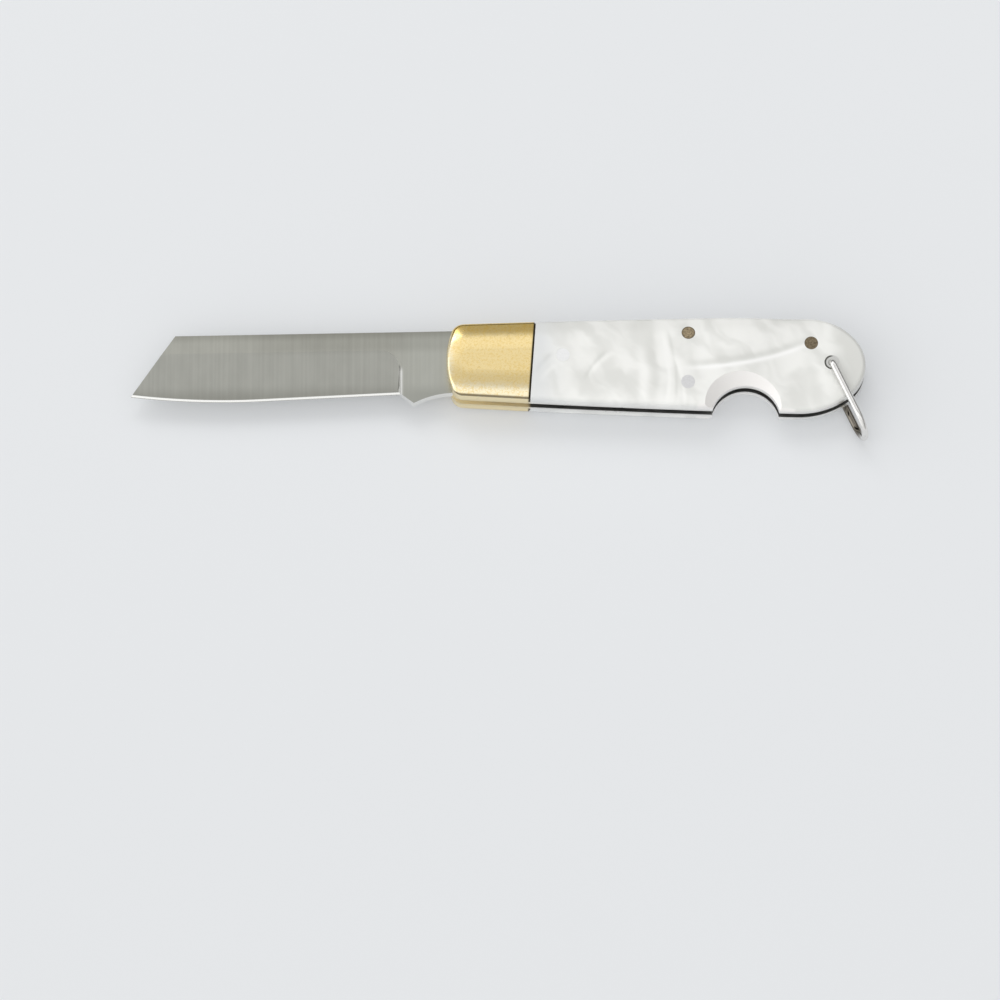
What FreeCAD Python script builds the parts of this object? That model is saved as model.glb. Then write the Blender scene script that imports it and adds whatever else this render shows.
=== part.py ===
import FreeCAD, Part
import math
import os

# A slip-joint folding knife that lies on its side with the blade open, in millimetres.
# It is drawn about the pivot: +X runs to the butt, +Y to the back of the handle, and +Z up, away
# from the surface that it lies on. At the end every piece is moved so that the origin is under
# the middle of the whole knife, on that surface.

Vector = FreeCAD.Vector
UP = Vector(0, 0, 1)
CENTRE = Vector(0, 0, 0)

# Handle outline
HANDLE_LENGTH = 99.1            # front of the bolsters to the end of the butt
PIVOT_SETBACK = 6.4             # front of the bolsters to the pivot
BACK_AT_FRONT = 10.4            # pivot to the back edge, at the bolsters' front corner
BELLY_AT_FRONT = 7.4            # pivot to the belly edge, at the bolsters' front corner
BACK_AT_BUTT = 12.3             # pivot to the back edge, at its shoulder
BELLY_AT_BUTT = 10.95           # pivot to the belly edge, at its shoulder
BACK_SHOULDER = 13.7            # end of the butt to the back's shoulder, where the butt starts to round
BELLY_SHOULDER = 15.7           # end of the butt to the belly's shoulder
BUTT_END_RADIUS = 9.5           # roundness of the end of the butt
BUTT_RISE = 0.7                 # middle of the butt above the pivot
BACK_SLOPE = 0.6                # degrees that the back still rises where it meets the butt
BELLY_SLOPE = 1.7               # degrees that the belly still falls where it meets the butt
NOSE_BULGE = 2.1                # how far the bolsters' front edge bows out past its corners
NOSE_CORNER_RADIUS = 3.0

# Handle thickness
BLADE_THICKNESS = 2.5
BLADE_SIDE_GAP = 0.05           # play between the blade and each liner
LINER_THICKNESS = 1.0
COVER_THICKNESS = 3.8           # bolsters and scales, at their thickest
FRONT_STRIP = 5.0               # width of the flat strip along the middle of each side, at the front
FRONT_CROWN = 19.5              # radius of the sides' fall beyond the flat strip, at the front
BUTT_STRIP = 10.0               # width of the flat strip at the butt, where the sides are thinner
BUTT_CROWN = 30.0               # radius of the sides' fall at the butt
CROWN_SETBACK = 6.0             # front of the bolsters to the middle of the strip's round end
EDGE_ROUND = 1.0
LAND_LENGTH = 12.5              # thinner butt that the bail swings over
TAPER_LENGTH = 22.0             # run from the full thickness down to the thinner butt
BOLSTER_LENGTH = 20.5           # front edge to the seam with the scale
SEAM_LEAN = 4.0                 # degrees that the seam leans towards the butt
SEAM_EASE = 0.45                # bevel on the bolsters' edge along the seam

# Pinch notch in the belly
NOTCH_RADIUS = 8.2
NOTCH_FROM_BUTT = 28.45         # end of the butt to the notch's middle
NOTCH_DEPTH = 6.05
NOTCH_WALL = 0.8                # upright wall that is left on the scale below the bevel
NOTCH_BEVEL_ANGLE = 45.0        # degrees between the bevel and the side of the handle

# Pins
PIVOT_DIAMETER = 3.2
RIVET_DIAMETER = 3.2
SCALE_PIN_DIAMETER = 3.2
BOLSTER_PIN_DIAMETER = 1.6
PIN_SEAT = 0.01                 # clearance round a pin that is set tight
PIVOT_PLAY = 0.03               # clearance between the pivot pin and the tang
SPRING_RIVET_FROM_BUTT = 41.9
SPRING_RIVET_BELOW_BACK = 4.1
BUTT_RIVET_FROM_BUTT = 12.8
BUTT_RIVET_BELOW_BACK = 6.5
REAR_PIN_FROM_BUTT = 42.1
REAR_PIN_ABOVE_BELLY = 5.6
FRONT_PIN_FROM_SEAM = 7.0
FRONT_PIN_ABOVE_MIDDLE = 1.1
BOLSTER_PIN_FROM_PIVOT = 8.8
BOLSTER_PIN_INSET = 4.0         # back or belly edge to a bolster pin

# Blade
TIP_GAP = 1.9                   # folded tip to the bail tube
TIP_DROP = 6.4                  # tip below the pivot
NOSE_RUN = 10.3                 # length of the sloping nose, along the blade
SPINE_BELOW_BACK = 0.65         # spine below the handle's back, at the pivot
SPINE_SLOPE = 1.1               # degrees that the spine falls towards the tip
CHOIL_REACH = 17.4              # pivot to the start of the cutting edge
CHOIL_DROP = 5.75               # start of the cutting edge below the pivot
EDGE_SLOPE = 3.0                # degrees that the straight edge falls towards the tip
EDGE_STRAIGHT = 33.0            # length of the straight edge before it curves up to the tip
KICK_REACH = 14.1               # pivot to the kick, which meets the spring when folded
KICK_DROP = 8.2
GRIND_BELOW_SPINE = 4.5         # flat band that is left along the spine
GRIND_EDGE = 0.5                # thickness that the grind leaves behind the cutting edge
PLUNGE_RADIUS = 5.0             # round end of the grind
PLUNGE_LEAN = 45.0              # degrees that the wall at the end of the grind leans back
EDGE_BEVEL_ANGLE = 24.0         # degrees of the cutting bevel on each side
EDGE_FLAT = 0.08                # width of the blunted cutting edge

# Tang and back spring
CLOSED_ANGLE = 176.0            # degrees that the blade turns to fold away
TANG_FLAT = 5.3                 # pivot to each flat that the spring lies on
TANG_LOBE = 5.85                # pivot to the round end that lifts the spring
CLOSED_FLAT_FRONT = 6.0         # length of the lower flat in front of the pivot
SPRING_GAP = 0.03               # play between the tang and the spring
SPRING_OVERHANG = 1.6           # how far the spring reaches past the pivot
RAMP_START = 4.0                # pivot to the start of the spring's ramp
KICK_SEAT = 2.1                 # length of the spring's seat in front of the kick
SPRING_BOSS_WALL = 1.3          # metal below the spring's rivet
SPRING_BOSS_LENGTH = 11.0
ARM_TAPER = 7.0                 # run from the spring's thin arm to its boss
SPRING_TUBE_GAP = 0.45          # spring's tail to the bail tube

# Bail
BAIL_WIRE = 1.6
BAIL_LENGTH = 18.7              # tube axis to the middle of the wire at the bow
BAIL_ANGLE = -65.5              # degrees, where the bail lies
BAIL_FROM_BUTT = 8.0
BAIL_RISE = 0.25                # tube above the middle of the butt
BAIL_SIDE_GAP = 0.1             # bail legs to the sides of the butt
BAIL_INSET = 0.15               # bail legs inside the full thickness of the handle
BAIL_BEND = 1.0                 # radius of the bend between leg and foot
BAIL_FOOT = 3.0                 # length of each foot inside the tube
BAIL_PLAY = 0.05                # clearance between a foot and the tube's bore
TUBE_WALL = 0.9

# Room for cutting shapes, and how places and directions are told apart
MARGIN = 2.0                    # how far a cutting shape reaches past what it cuts
FOOT_SHARE = 3                  # depth of a side's section, in half thicknesses of the handle
TOUCH = 0.01                    # places closer than this count as the same
SAME_WAY = 0.999                # least dot product of two directions that count as the same
UPRIGHT = 0.5                   # upright share of a direction that parts walls from crowned sides


def point(x, y, z=0.0):
    return Vector(x, y, z)


def heading(degrees):
    """Direction in the plan, counted from +X towards +Y."""
    return Vector(math.cos(math.radians(degrees)), math.sin(math.radians(degrees)), 0)


def turned(place, degrees):
    """Where a point of the blade goes when the blade turns about the pivot."""
    return FreeCAD.Rotation(UP, degrees).multVec(place)


def line(start, end):
    return Part.LineSegment(start, end).toShape()


def arc_arriving(start, end, direction):
    """Arc in the plan from start that arrives at end along direction."""
    chord = end - start
    left = Vector(-chord.y, chord.x, 0).normalize()
    turn = math.asin(chord.normalize().cross(direction).z)
    bow = start.distanceToPoint(end) / 2 * math.tan(turn / 2)
    return Part.Arc(start, (start + end) / 2 - left * bow, end).toShape()


def start_of(edge):
    return edge.valueAt(edge.FirstParameter)


def end_of(edge):
    return edge.valueAt(edge.LastParameter)


def shoulder(butt_middle, level, x, first_way):
    """Arc that turns from the back or belly edge, at its level, into the round end of the butt."""
    side = math.copysign(1, level)
    height = side * (level - butt_middle.y)
    run = butt_middle.x - x
    radius = (run ** 2 + height ** 2 - BUTT_END_RADIUS ** 2) / (2 * (height - BUTT_END_RADIUS))
    middle = point(x, butt_middle.y + side * (height - radius))
    last_way = (butt_middle - middle).normalize()
    half_way = (first_way + last_way).normalize()
    places = [middle + way * radius for way in (first_way, half_way, last_way)]
    return Part.Arc(*places).toShape()


def level_at(edge, x):
    """Height of a long flat arc at a place along the handle."""
    middle = edge.Curve.Center
    rise = math.sqrt(edge.Curve.Radius ** 2 - (x - middle.x) ** 2)
    return middle.y + math.copysign(rise, -middle.y)


def filled(edges):
    return Part.Face(Part.Wire(Part.__sortEdges__(edges)))


def plate(face, low, high):
    """Upright plate on a face drawn in the plan."""
    return face.translated(UP * low).extrude(UP * (high - low))


def polygon(points):
    return Part.Face(Part.makePolygon(points + points[:1]))


def rod(place, diameter, low, high):
    return Part.makeCylinder(diameter / 2, high - low, place + UP * low, UP)


def mirrored(shape):
    """The same piece on the lower side of the knife."""
    return shape.mirror(CENTRE, UP)


# Places along the handle
slot_half = BLADE_THICKNESS / 2 + BLADE_SIDE_GAP
liner_face = slot_half + LINER_THICKNESS
handle_half = liner_face + COVER_THICKNESS
butt_thinning = BAIL_WIRE + BAIL_SIDE_GAP + BAIL_INSET
land_half = handle_half - butt_thinning

front_x = -PIVOT_SETBACK
butt_x = HANDLE_LENGTH - PIVOT_SETBACK
corner_x = front_x + NOSE_BULGE
land_x = butt_x - LAND_LENGTH
taper_x = land_x - TAPER_LENGTH
seam_x = front_x + BOLSTER_LENGTH

back_start = point(corner_x, BACK_AT_FRONT)
belly_start = point(corner_x, -BELLY_AT_FRONT)
butt_middle = point(butt_x - BUTT_END_RADIUS, BUTT_RISE)
back_turn = shoulder(butt_middle, BACK_AT_BUTT, butt_x - BACK_SHOULDER, heading(90 + BACK_SLOPE))
belly_turn = shoulder(butt_middle, -BELLY_AT_BUTT, butt_x - BELLY_SHOULDER, heading(-90 - BELLY_SLOPE))
back_edge = arc_arriving(back_start, start_of(back_turn), heading(BACK_SLOPE))
belly_edge = arc_arriving(belly_start, start_of(belly_turn), heading(-BELLY_SLOPE))
nose_y = (BACK_AT_FRONT - BELLY_AT_FRONT) / 2
crown_y = (nose_y + BUTT_RISE) / 2

# Places of the pins
pivot = point(0, 0)
spring_rivet_x = butt_x - SPRING_RIVET_FROM_BUTT
spring_rivet_at = point(spring_rivet_x, level_at(back_edge, spring_rivet_x) - SPRING_RIVET_BELOW_BACK)
butt_rivet_x = butt_x - BUTT_RIVET_FROM_BUTT
butt_rivet_at = point(butt_rivet_x, level_at(back_edge, butt_rivet_x) - BUTT_RIVET_BELOW_BACK)
rear_pin_x = butt_x - REAR_PIN_FROM_BUTT
rear_pin_at = point(rear_pin_x, level_at(belly_edge, rear_pin_x) + REAR_PIN_ABOVE_BELLY)
front_pin_at = point(seam_x + FRONT_PIN_FROM_SEAM, crown_y + FRONT_PIN_ABOVE_MIDDLE)
bolster_pins_at = {
    "upper": point(BOLSTER_PIN_FROM_PIVOT, level_at(back_edge, BOLSTER_PIN_FROM_PIVOT) - BOLSTER_PIN_INSET),
    "lower": point(BOLSTER_PIN_FROM_PIVOT, level_at(belly_edge, BOLSTER_PIN_FROM_PIVOT) + BOLSTER_PIN_INSET),
}
bail_at = point(butt_x - BAIL_FROM_BUTT, BUTT_RISE + BAIL_RISE)
tube_bore = BAIL_WIRE + 2 * BAIL_PLAY
tube_diameter = tube_bore + 2 * TUBE_WALL

# Places on the blade
spine_heading = heading(180 + SPINE_SLOPE)
edge_heading = heading(180 + EDGE_SLOPE)
spine_root_y = level_at(back_edge, 0) - SPINE_BELOW_BACK
tip = point(-(bail_at.x - tube_diameter / 2 - TIP_GAP), -TIP_DROP)
choil = point(-CHOIL_REACH, -CHOIL_DROP)
edge_bend = choil + edge_heading * EDGE_STRAIGHT
kick = point(-KICK_REACH, -KICK_DROP)
flat_half = math.sqrt(TANG_LOBE ** 2 - TANG_FLAT ** 2)
tip_arc = arc_arriving(tip, edge_bend, edge_heading * -1)


def spine_at(x):
    """Point of the spine at a place along the blade."""
    return point(x, spine_root_y + x * math.tan(math.radians(SPINE_SLOPE)))


def handle_blank():
    """The handle's outline as one upright block, without the pinch notch."""
    nose = Part.Arc(back_start, point(front_x, nose_y), belly_start).toShape()
    butt = Part.Arc(end_of(belly_turn), point(butt_x, BUTT_RISE), end_of(back_turn)).toShape()
    outline = filled([nose, belly_edge, belly_turn, butt, back_turn, back_edge])
    block = plate(outline, -handle_half, handle_half)
    corners = [edge for edge in block.Edges
               if abs(edge.CenterOfMass.x - corner_x) < TOUCH
               and abs(edge.tangentAt(edge.FirstParameter).z) > UPRIGHT]
    return block.makeFillet(NOSE_CORNER_RADIUS, corners)


def crown_fall(top, side, reach, strip, radius):
    """Edges from one edge of the flat strip out along the rounded fall and down to its foot."""
    half_strip = strip / 2
    fall_angle = math.asin((reach - half_strip) / radius)

    def on_fall(angle):
        across = half_strip + radius * math.sin(angle)
        return top + point(0, side * across, -radius * (1 - math.cos(angle)))

    fall = Part.Arc(on_fall(0), on_fall(fall_angle / 2), on_fall(fall_angle)).toShape()
    foot = top + point(0, side * reach, -FOOT_SHARE * handle_half)
    return on_fall(0), foot, [fall, line(on_fall(fall_angle), foot)]


def crown_section(top, reach, strip, radius):
    """Section across one side of the handle: a flat strip with rounded falls to either side."""
    left_start, left_foot, left_fall = crown_fall(top, -1, reach, strip, radius)
    right_start, right_foot, right_fall = crown_fall(top, 1, reach, strip, radius)
    edges = left_fall + right_fall + [line(left_start, right_start), line(left_foot, right_foot)]
    return Part.Wire(Part.__sortEdges__(edges))


def crown_nose(top, reach):
    """Round front end of one side of the handle: half of the front section turned about its middle."""
    fall_start, fall_foot, fall = crown_fall(top, 1, reach, FRONT_STRIP, FRONT_CROWN)
    middle_foot = point(top.x, top.y, fall_foot.z)
    closing = [line(top, fall_start), line(fall_foot, middle_foot), line(middle_foot, top)]
    return filled(fall + closing).revolve(top, UP, 180)


def grip_form(blank):
    """Room between the two crowned sides of the handle, which thin and flatten towards the butt."""
    box = blank.BoundBox
    reach = max(box.YMax - crown_y, crown_y - box.YMin) + MARGIN
    start = point(front_x + CROWN_SETBACK, crown_y, handle_half)
    end = point(box.XMax + MARGIN, crown_y, land_half)
    taper_top = point(taper_x, crown_y, handle_half)
    taper_foot = point(land_x, crown_y, land_half)
    middle = (taper_top + taper_foot) / 2
    radius = (TAPER_LENGTH ** 2 + butt_thinning ** 2) / (4 * butt_thinning)
    half_turn = math.asin(TAPER_LENGTH / 2 / radius) / 2
    run = radius * math.sin(half_turn)
    fall = radius * (1 - math.cos(half_turn))
    path = Part.Wire([
        line(start, taper_top),
        Part.Arc(taper_top, taper_top + point(run, 0, -fall), middle).toShape(),
        Part.Arc(middle, taper_foot + point(-run, 0, fall), taper_foot).toShape(),
        line(taper_foot, end)])
    sections = [crown_section(start, reach, FRONT_STRIP, FRONT_CROWN),
                crown_section(end, reach, BUTT_STRIP, BUTT_CROWN)]
    side = path.makePipeShell(sections, True, False).fuse(crown_nose(start, reach))
    return side.common(mirrored(side))


def notch_middle():
    x = butt_x - NOTCH_FROM_BUTT
    return point(x, level_at(belly_edge, x) + NOTCH_DEPTH - NOTCH_RADIUS)


def notch_cutter():
    return rod(notch_middle(), 2 * NOTCH_RADIUS, -handle_half - MARGIN, handle_half + MARGIN)


def notch_bevel():
    """Cone that eases the scale's edge round the notch."""
    low = liner_face + NOTCH_WALL
    rise = handle_half + MARGIN - low
    wide = NOTCH_RADIUS + rise / math.tan(math.radians(NOTCH_BEVEL_ANGLE))
    return Part.makeCone(NOTCH_RADIUS, wide, rise, notch_middle() + UP * low, UP)


def middle_normal(face):
    first_u, last_u, first_v, last_v = face.ParameterRange
    return face.normalAt((first_u + last_u) / 2, (first_v + last_v) / 2)


def rim_edges(cover):
    """Edges between the outer side of a cover and its walls."""
    rims = []
    for edge in cover.Edges:
        faces = cover.ancestorsOfType(edge, Part.Face)
        walls = [face for face in faces if abs(middle_normal(face).z) < UPRIGHT]
        if len(faces) == 2 and len(walls) == 1 and edge.CenterOfMass.z > liner_face + TOUCH:
            rims.append(edge)
    return rims


def pin_holes(places, diameter):
    """Cutters for pins that are set tight in the upper liner and cover."""
    return [rod(place, diameter + 2 * PIN_SEAT, 0, handle_half + MARGIN) for place in places]


def tight_holes():
    """Every pin hole through the upper half of the handle."""
    cutters = pin_holes([pivot], PIVOT_DIAMETER)
    cutters += pin_holes([spring_rivet_at, butt_rivet_at], RIVET_DIAMETER)
    cutters += pin_holes([rear_pin_at, front_pin_at], SCALE_PIN_DIAMETER)
    cutters += pin_holes(bolster_pins_at.values(), BOLSTER_PIN_DIAMETER)
    cutters += pin_holes([bail_at], tube_diameter)
    return cutters


def slab_face(blank):
    """Rectangle in the plan that covers the whole handle."""
    box = blank.BoundBox
    return polygon([point(box.XMin - MARGIN, box.YMin - MARGIN), point(box.XMax + MARGIN, box.YMin - MARGIN),
                    point(box.XMax + MARGIN, box.YMax + MARGIN), point(box.XMin - MARGIN, box.YMax + MARGIN)])


def top_cover(blank, grip):
    """Upper bolster and scale in one, as they are ground together."""
    slab = plate(slab_face(blank), liner_face, handle_half + MARGIN)
    cover = blank.common(slab).common(grip)
    cover = cover.makeFillet(EDGE_ROUND, rim_edges(cover))
    return cover.cut([notch_cutter(), notch_bevel()] + tight_holes())


def bolster_room(blank):
    """Everything in front of the leaning seam between bolster and scale."""
    box = blank.BoundBox
    lean = math.tan(math.radians(SEAM_LEAN))
    top = box.YMax + MARGIN
    low = box.YMin - MARGIN
    face = polygon([point(box.XMin - MARGIN, low), point(seam_x + (low - crown_y) * lean, low),
                    point(seam_x + (top - crown_y) * lean, top), point(box.XMin - MARGIN, top)])
    return plate(face, 0, handle_half + MARGIN)


def eased_at_seam(bolster):
    """The bolster with a small bevel on its edge along the seam."""
    seam_normal = heading(-SEAM_LEAN)
    edges = [edge for face in bolster.Faces if middle_normal(face).dot(seam_normal) > SAME_WAY
             for edge in face.Edges if edge.CenterOfMass.z > liner_face + TOUCH]
    return bolster.makeChamfer(SEAM_EASE, edges)


def top_liner(blank):
    slab = plate(slab_face(blank), slot_half, liner_face)
    return blank.common(slab).cut([notch_cutter()] + tight_holes())


def through_pin(place, diameter, grip):
    """Pin through the whole handle, filed flush with both sides."""
    return rod(place, diameter, -handle_half - MARGIN, handle_half + MARGIN).common(grip)


def side_pin(place, diameter, grip):
    """Pin from the upper liner's inner face to the outer side, filed flush."""
    return rod(place, diameter, slot_half, handle_half + MARGIN).common(grip)


def blade_blank():
    """The blade's outline with its tang, as a plate of even thickness."""
    closed_normal = turned(heading(90), -CLOSED_ANGLE)
    closed_along = turned(heading(0), 180 - CLOSED_ANGLE)
    spring_stop = point(-SPRING_OVERHANG - SPRING_GAP, TANG_FLAT)
    open_end = point(flat_half, TANG_FLAT)
    closed_end = closed_normal * TANG_FLAT + closed_along * flat_half
    closed_start = closed_normal * TANG_FLAT - closed_along * CLOSED_FLAT_FRONT
    round_middle = (open_end + closed_end).normalize() * TANG_LOBE
    spine_corner = spine_at(tip.x + NOSE_RUN)
    spine_end = spine_at(spring_stop.x)
    outline = [
        line(spring_stop, open_end),
        Part.Arc(open_end, round_middle, closed_end).toShape(),
        line(closed_end, closed_start),
        arc_arriving(kick, closed_start, closed_along),
        line(kick, choil),
        line(choil, edge_bend),
        tip_arc,
        line(tip, spine_corner),
        line(spine_corner, spine_end),
        line(spine_end, spring_stop)]
    return plate(filled(outline), -BLADE_THICKNESS / 2, BLADE_THICKNESS / 2)


def grind_cutter():
    """Wedge that thins the upper side of the blade from the grind line down to the edge."""
    half = BLADE_THICKNESS / 2
    down = Vector(-spine_heading.y, spine_heading.x, 0)
    grind_line = spine_at(-CHOIL_REACH) + down * GRIND_BELOW_SPINE
    depth = (edge_bend - grind_line).dot(down)
    fall = (half - GRIND_EDGE / 2) / depth
    far = depth + MARGIN
    length = CHOIL_REACH - tip.x
    back = grind_line - spine_heading * MARGIN
    wedge = polygon([back + UP * half, back + down * far + UP * (half - far * fall),
                     back + down * far + UP * (half + MARGIN), back + UP * (half + MARGIN)])
    wedge = wedge.extrude(spine_heading * length)
    far_edge = grind_line + spine_heading * length

    def room_at(z):
        """Outline of the room that the grind takes at one height, smaller the deeper it is."""
        inset = (half - z) * math.tan(math.radians(PLUNGE_LEAN))
        corner = grind_line + (spine_heading + down) * inset + UP * z
        wall_top = grind_line + spine_heading * inset + down * PLUNGE_RADIUS + UP * z
        wall_foot = grind_line + spine_heading * inset + down * far + UP * z
        round_end = grind_line + spine_heading * PLUNGE_RADIUS + down * inset + UP * z
        far_top = far_edge + down * inset + UP * z
        far_foot = far_edge + down * far + UP * z
        diagonal = math.sqrt(0.5)
        bow = corner + (spine_heading + down) * ((PLUNGE_RADIUS - inset) * (1 - diagonal))
        return Part.Wire([line(wall_foot, wall_top), Part.Arc(wall_top, bow, round_end).toShape(),
                          line(round_end, far_top), line(far_top, far_foot), line(far_foot, wall_foot)])

    room = Part.makeLoft([room_at(-half), room_at(half + MARGIN)], True, True)
    return wedge.common(room)


def bevel_cutters():
    """Upper cutting bevel: a straight run from the choil, then a cone round the curved edge."""
    lean = math.tan(math.radians(EDGE_BEVEL_ANGLE))
    inward = Vector(edge_heading.y, -edge_heading.x, 0)
    outside = -MARGIN / 2
    high = EDGE_FLAT / 2 + MARGIN * lean

    def section(place):
        return polygon([place + inward * outside + UP * (EDGE_FLAT / 2 + outside * lean),
                        place + inward * MARGIN + UP * high, place + inward * outside + UP * high])

    middle = tip_arc.Curve.Center
    sweep = math.degrees((edge_bend - middle).getAngle(tip - middle))
    past_tip = math.degrees(MARGIN / tip_arc.Curve.Radius)
    straight = section(choil).extrude(edge_bend - choil)
    curved = section(edge_bend).revolve(middle, UP, -(sweep + past_tip))
    return [straight, curved]


def blade():
    cutters = [grind_cutter()] + bevel_cutters()
    cutters += [mirrored(cutter) for cutter in cutters]
    cutters.append(rod(pivot, PIVOT_DIAMETER + 2 * PIVOT_PLAY, -BLADE_THICKNESS, BLADE_THICKNESS))
    return blade_blank().cut(cutters)


def back_spring(blank):
    """Leaf spring along the back: a thin arm to the tang, a boss at its rivet and a tail at the butt."""
    box = blank.BoundBox
    roof = box.YMax + MARGIN
    tang_y = TANG_FLAT + SPRING_GAP
    kick_folded = turned(kick, CLOSED_ANGLE)
    seat_y = kick_folded.y + SPRING_GAP
    boss_y = spring_rivet_at.y - RIVET_DIAMETER / 2 - SPRING_BOSS_WALL
    tail_y = bail_at.y + tube_diameter / 2 + SPRING_TUBE_GAP
    front = point(-SPRING_OVERHANG, tang_y)
    ramp_foot = point(RAMP_START, tang_y)
    ramp_top = point(kick_folded.x - KICK_SEAT, seat_y)
    boss_front = point(spring_rivet_at.x - SPRING_BOSS_LENGTH / 2, boss_y)
    arm_end = point(boss_front.x - ARM_TAPER, seat_y)
    boss_rear = point(spring_rivet_at.x + SPRING_BOSS_LENGTH / 2, boss_y)
    tail_front = point(butt_rivet_at.x - RIVET_DIAMETER, tail_y)
    tail_end = point(box.XMax + MARGIN, tail_y)
    outline = [
        line(front, ramp_foot), line(ramp_foot, ramp_top), line(ramp_top, arm_end),
        arc_arriving(arm_end, boss_front, heading(0)), line(boss_front, boss_rear),
        line(boss_rear, tail_front), line(tail_front, tail_end),
        line(tail_end, point(tail_end.x, roof)), line(point(tail_end.x, roof), point(front.x, roof)),
        line(point(front.x, roof), front)]
    holes = [rod(place, RIVET_DIAMETER + 2 * PIN_SEAT, -handle_half, handle_half)
             for place in (spring_rivet_at, butt_rivet_at)]
    return blank.common(plate(filled(outline), -slot_half, slot_half)).cut(holes)


def bail_tube():
    length = (-land_half, land_half)
    return rod(bail_at, tube_diameter, *length).cut(rod(bail_at, tube_bore, *length))


def bail():
    """Wire loop: two feet in the tube, two straight legs beside the butt and a round bow."""
    leg_z = land_half + BAIL_SIDE_GAP + BAIL_WIRE / 2
    foot_z = land_half - BAIL_FOOT
    bow_x = BAIL_LENGTH - leg_z
    bend = BAIL_BEND * (1 - math.sqrt(0.5))

    def leg(side):
        foot_end = point(0, 0, side * foot_z)
        bend_start = point(0, 0, side * (leg_z - BAIL_BEND))
        bend_middle = point(bend, 0, side * (leg_z - bend))
        bend_end = point(BAIL_BEND, 0, side * leg_z)
        leg_end = point(bow_x, 0, side * leg_z)
        return [line(foot_end, bend_start), Part.Arc(bend_start, bend_middle, bend_end).toShape(),
                line(bend_end, leg_end)]

    bow = Part.Arc(point(bow_x, 0, leg_z), point(BAIL_LENGTH, 0, 0), point(bow_x, 0, -leg_z)).toShape()
    path = Part.Wire(Part.__sortEdges__(leg(1) + [bow] + leg(-1)))
    section = Part.Wire(Part.makeCircle(BAIL_WIRE / 2, point(0, 0, foot_z), UP))
    loop = path.makePipeShell([section], True, False)
    loop.rotate(CENTRE, UP, BAIL_ANGLE)
    loop.translate(bail_at)
    return loop


def build():
    """Every piece of the knife by name, drawn about the pivot."""
    blank = handle_blank()
    grip = grip_form(blank)
    cover = top_cover(blank, grip)
    room = bolster_room(blank)
    upper = {
        "liner": top_liner(blank),
        "bolster": eased_at_seam(cover.common(room)),
        "scale": cover.cut(room),
        "rear_scale_pin": side_pin(rear_pin_at, SCALE_PIN_DIAMETER, grip),
        "front_scale_pin": side_pin(front_pin_at, SCALE_PIN_DIAMETER, grip),
    }
    for row, place in bolster_pins_at.items():
        upper[row + "_bolster_pin"] = side_pin(place, BOLSTER_PIN_DIAMETER, grip)
    pieces = {
        "blade": blade(),
        "back_spring": back_spring(blank),
        "pivot_pin": through_pin(pivot, PIVOT_DIAMETER, grip),
        "spring_rivet": through_pin(spring_rivet_at, RIVET_DIAMETER, grip),
        "butt_rivet": through_pin(butt_rivet_at, RIVET_DIAMETER, grip),
        "bail": bail(),
        "bail_tube": bail_tube(),
    }
    for name, shape in upper.items():
        pieces["top_" + name] = shape
        pieces["bottom_" + name] = mirrored(shape)
    return pieces


def main():
    pieces = build()
    box = Part.makeCompound(list(pieces.values())).optimalBoundingBox(False)
    shift = point(-(box.XMin + box.XMax) / 2, -(box.YMin + box.YMax) / 2, -box.ZMin)
    os.makedirs("parts", exist_ok=True)
    for name, shape in pieces.items():
        moved = shape.translated(shift)
        moved.exportStep("parts/" + name + ".step")
        print(name, "solids", len(moved.Solids), "valid", moved.isValid(), "volume", round(moved.Volume, 2))
    print("size", round(box.XLength, 2), round(box.YLength, 2), round(box.ZLength, 2))
    for name, place in {"pivot": pivot, "bail": bail_at, "notch": notch_middle()}.items():
        moved = place + shift
        print(name, round(moved.x, 3), round(moved.y, 3), round(moved.z, 3))


main()
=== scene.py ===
import math

import bpy
from bpy.props import FloatProperty, FloatVectorProperty, PointerProperty
from bpy.types import Operator, Panel, PropertyGroup
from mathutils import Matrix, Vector


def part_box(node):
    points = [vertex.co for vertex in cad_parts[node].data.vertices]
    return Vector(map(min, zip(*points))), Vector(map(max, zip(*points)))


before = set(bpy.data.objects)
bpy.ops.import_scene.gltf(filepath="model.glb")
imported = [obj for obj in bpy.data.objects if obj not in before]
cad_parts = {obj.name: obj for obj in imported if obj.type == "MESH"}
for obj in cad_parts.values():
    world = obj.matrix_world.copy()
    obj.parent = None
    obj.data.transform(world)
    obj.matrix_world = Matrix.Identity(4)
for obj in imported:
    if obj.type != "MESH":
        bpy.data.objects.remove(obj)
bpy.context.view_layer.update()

bl_info = {
    "name": "Pocket Knife Finishes",
    "version": (1, 0, 0),
    "blender": (4, 5, 0),
    "location": "3D View > Sidebar > Knife",
    "description": "Finishes and studio for a slip-joint pocket knife that lies open on its side",
    "category": "Material",
}

MM = 0.001
PER_MM = 1000.0
SIDES = ("top_", "bottom_")


# Values in a node tree

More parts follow.
